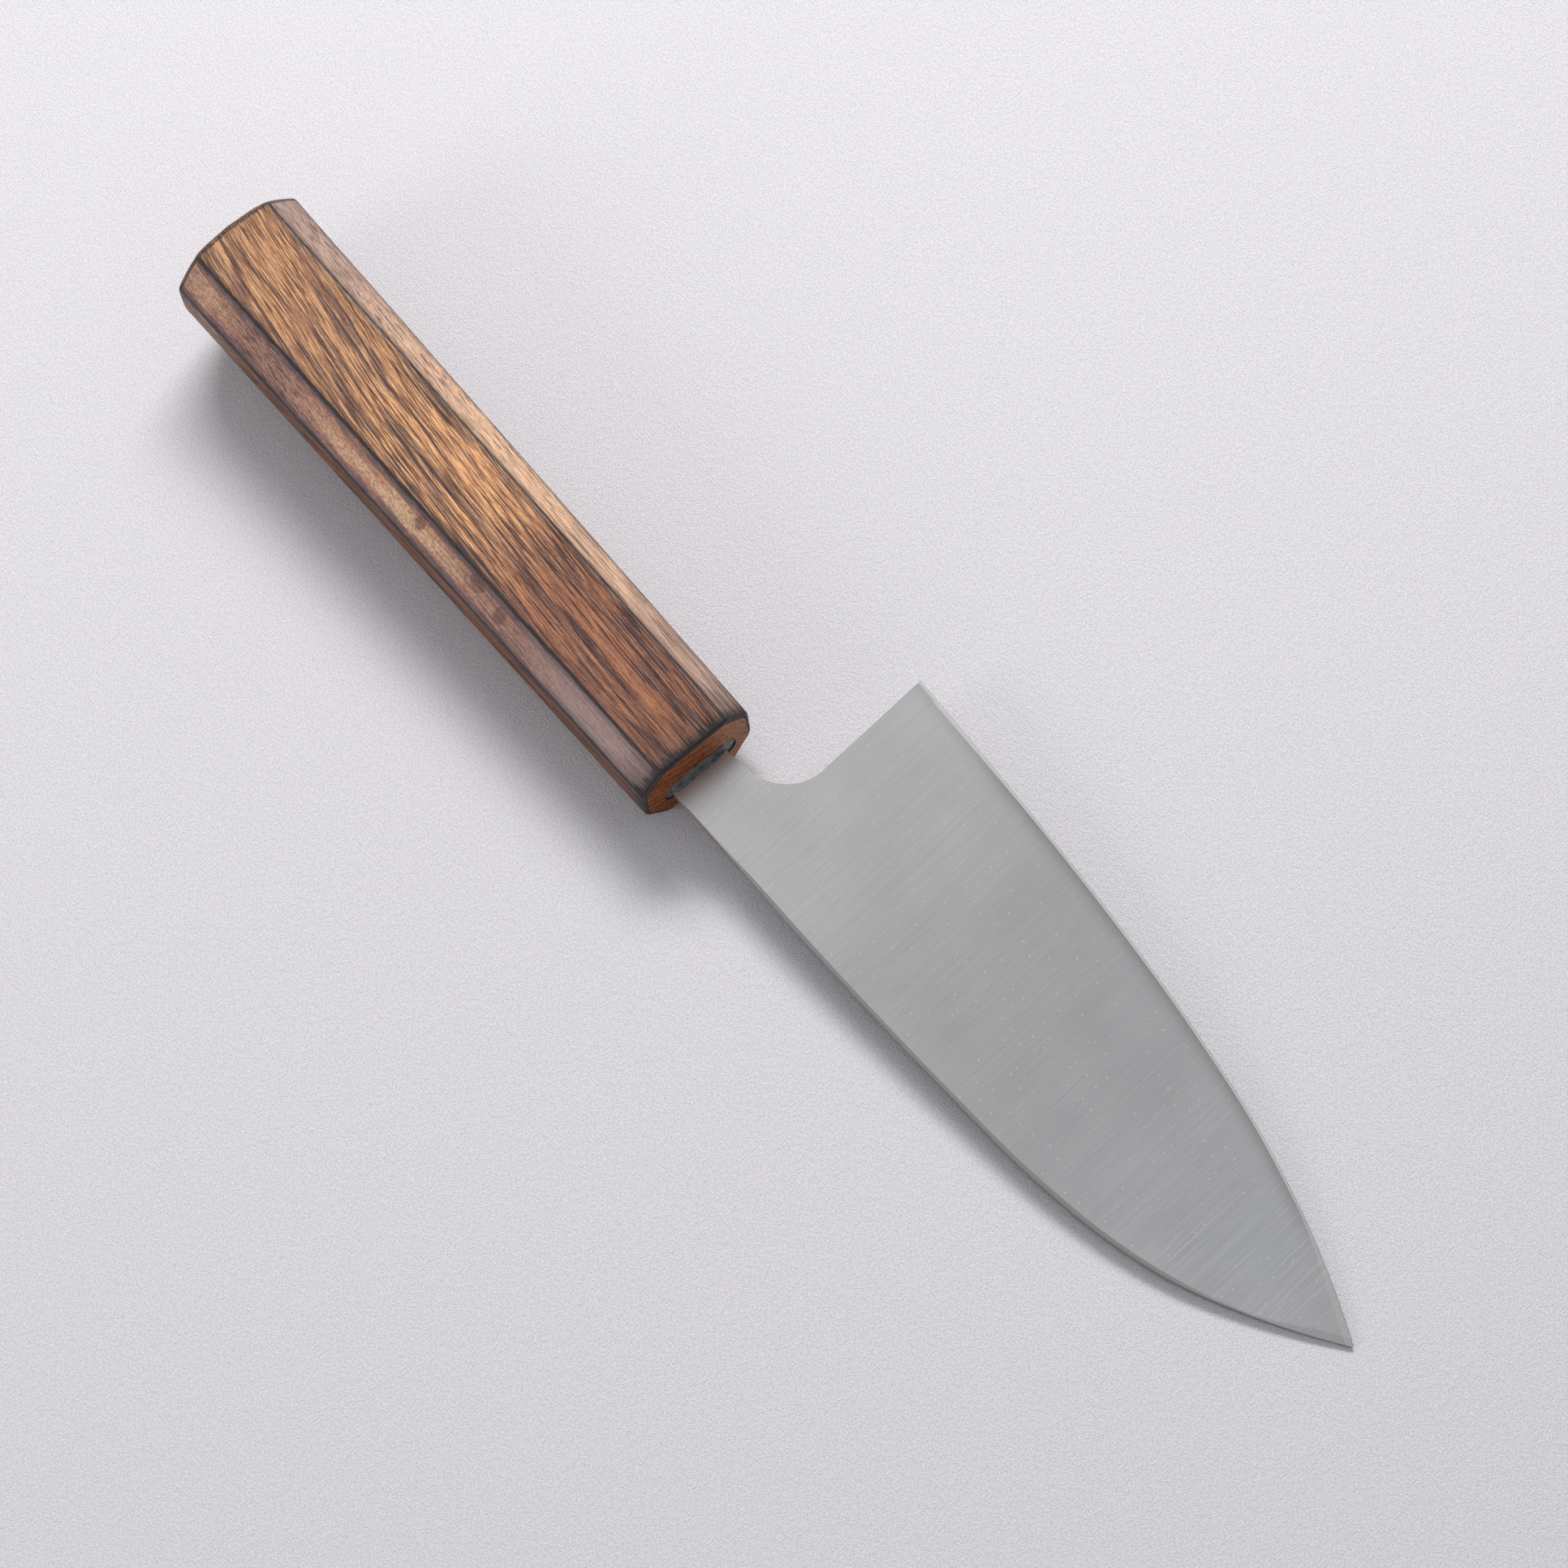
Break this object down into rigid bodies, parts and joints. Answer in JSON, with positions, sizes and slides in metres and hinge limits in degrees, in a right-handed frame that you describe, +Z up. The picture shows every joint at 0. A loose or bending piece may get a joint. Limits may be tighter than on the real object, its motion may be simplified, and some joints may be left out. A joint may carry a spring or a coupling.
{
  "type": "boning knife",
  "caption": "Single-bevel knife for boning fish, with a wide hollow-backed blade, finger notch and a plain octagonal wooden handle, lying flat.",
  "frame": {"origin": "middle of the knife's bounding box, on the table that it rests on", "axes": "+X along the knife towards the tip, +Y from the spine towards the cutting edge, +Z up from the table. The hollow back of the blade faces up."},
  "size_m": [0.2824, 0.0532, 0.029],
  "materials": {
    "blade_steel": "satin, fine grinding lines across the blade",
    "handle_wood": "scorched and rubbed, soft sheen, charred edges",
    "bedding_resin": "dark, rough, slightly glossy"
  },
  "bodies": {
    "root": {"blade": "blade_steel", "handle_body": "handle_wood", "tang_bedding": "bedding_resin", "mouth_seal": "bedding_resin"}
  },
  "joints": []
}
